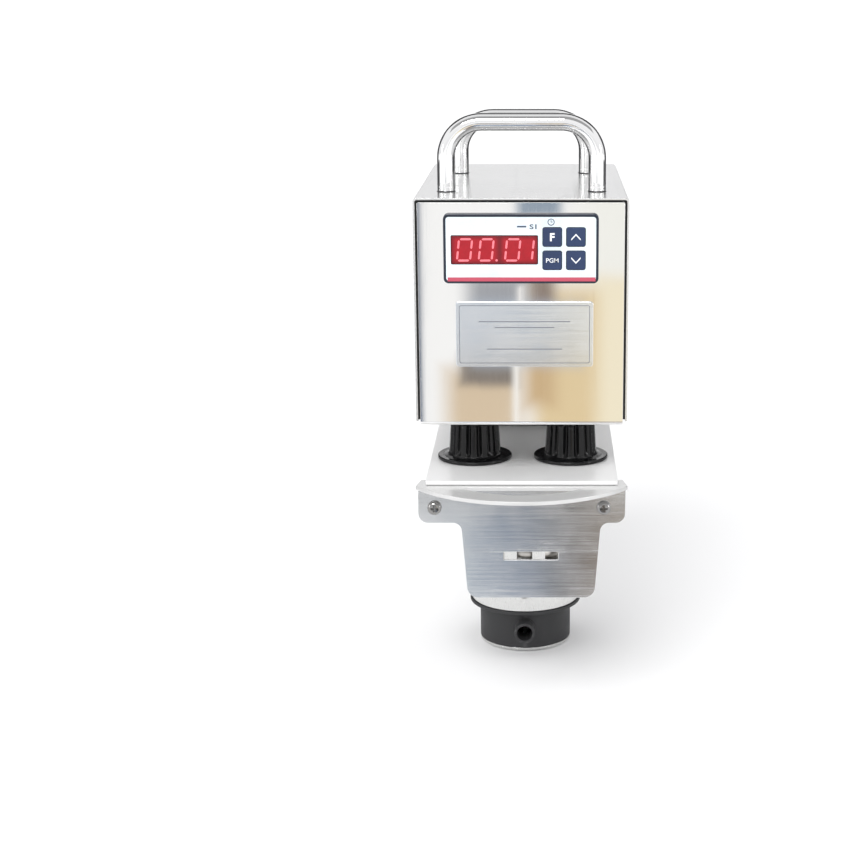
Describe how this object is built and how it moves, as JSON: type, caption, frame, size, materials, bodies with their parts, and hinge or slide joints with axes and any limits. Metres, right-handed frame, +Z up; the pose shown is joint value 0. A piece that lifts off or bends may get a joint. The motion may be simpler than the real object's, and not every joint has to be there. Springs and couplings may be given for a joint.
{
  "type": "sous vide circulator",
  "caption": "Rim-hung water circulator: box head with digital controller and two U handles on a shelf, fluted clamp knobs, hook plate, and immersed heater, pump, probe and float.",
  "frame": {"origin": "on the flat underside of the rim pad, over the rolled rim of the pot, on the machine's centre plane", "axes": "+Z up, -Y towards the front panel, +X to the right seen from the front"},
  "size_m": [0.108, 0.2137, 0.3197],
  "materials": {
    "satin_steel": "satin",
    "polished_steel": "polished stainless",
    "chrome": "polished",
    "steel": "brushed",
    "food_steel": "fine brushed",
    "black_gloss": "gloss",
    "black_matt": "matte",
    "navy": "matte",
    "pale_face": "smooth sheet",
    "window_red": "tinted",
    "silicone": "matte",
    "board_green": "solder mask",
    "white_plastic": "matte"
  },
  "bodies": {
    "machine": {"cover": "satin_steel", "nameplate": "satin_steel", "motor_mount": "satin_steel", "shelf": "satin_steel", "chassis": "polished_steel", "front_flange": "polished_steel", "handle_front": "chrome", "handle_rear": "chrome", "bracket_screw_1": "chrome", "bracket_screw_2": "chrome", "handle_nut_1": "steel", "handle_nut_2": "steel", "handle_nut_3": "steel", "handle_nut_4": "steel", "transformer": "steel", "motor_case": "steel", "hook_plate": "steel", "bracket_tab_1": "steel", "bracket_tab_2": "steel", "base_flange": "food_steel", "pump_tube": "food_steel", "inlet_grille": "food_steel", "heater_coil": "food_steel", "heater_guard": "food_steel", "probe": "food_steel", "float_stem": "food_steel", "display_module": "black_matt", "controller_case": "black_matt", "terminal_block": "black_matt", "mains_inlet": "black_matt", "fuse_holder": "black_matt", "switch_frame": "black_matt", "neck": "black_matt", "pump_housing": "black_matt", "controller_bezel": "navy", "controller_face": "pale_face", "display_window": "window_red", "rim_pad": "silicone", "controller_board": "board_green", "power_board": "board_green", "relay": "white_plastic"},
    "clamp_left": {"clamp_knob_1": "black_gloss", "clamp_cam_1": "steel", "clamp_tyre_1": "silicone"},
    "clamp_right": {"clamp_knob_2": "black_gloss", "clamp_cam_2": "steel", "clamp_tyre_2": "silicone"},
    "function_key": {"key_function": "navy"},
    "up_key": {"key_up": "navy"},
    "program_key": {"key_program": "navy"},
    "down_key": {"key_down": "navy"},
    "rocker": {"switch_rocker": "black_gloss"},
    "pump_rotor": {"drive_shaft": "steel", "shaft_coupling": "steel", "cooling_fan": "black_matt", "impeller": "black_matt"},
    "float_ball": {"level_float": "white_plastic"}
  },
  "joints": [
    {"name": "left_clamp_turn", "type": "hinge", "parent": "machine", "child": "clamp_left", "pos_m": [-0.02565, 0.0264, 0.0043], "axis": [0, 0, 1], "range_deg": [-150, 0]},
    {"name": "right_clamp_turn", "type": "hinge", "parent": "machine", "child": "clamp_right", "pos_m": [0.02565, 0.0264, 0.0043], "axis": [0, 0, 1], "range_deg": [0, 150]},
    {"name": "function_key_press", "type": "slide", "parent": "machine", "child": "function_key", "axis": [0, 1, 0], "range_m": [0, 0.0006], "stiffness_N_per_m": 800},
    {"name": "up_key_press", "type": "slide", "parent": "machine", "child": "up_key", "axis": [0, 1, 0], "range_m": [0, 0.0006], "stiffness_N_per_m": 800},
    {"name": "program_key_press", "type": "slide", "parent": "machine", "child": "program_key", "axis": [0, 1, 0], "range_m": [0, 0.0006], "stiffness_N_per_m": 800},
    {"name": "down_key_press", "type": "slide", "parent": "machine", "child": "down_key", "axis": [0, 1, 0], "range_m": [0, 0.0006], "stiffness_N_per_m": 800},
    {"name": "rocker_tilt", "type": "hinge", "parent": "machine", "child": "rocker", "pos_m": [0.038, 0.157, 0.0643], "axis": [1, 0, 0], "range_deg": [0, 14]},
    {"name": "rotor_spin", "type": "hinge", "parent": "machine", "child": "pump_rotor", "pos_m": [0, 0.121, 0], "axis": [0, 0, 1], "continuous": true},
    {"name": "float_rise", "type": "slide", "parent": "machine", "child": "float_ball", "axis": [0, 0, 1], "range_m": [0, 0.016]}
  ]
}
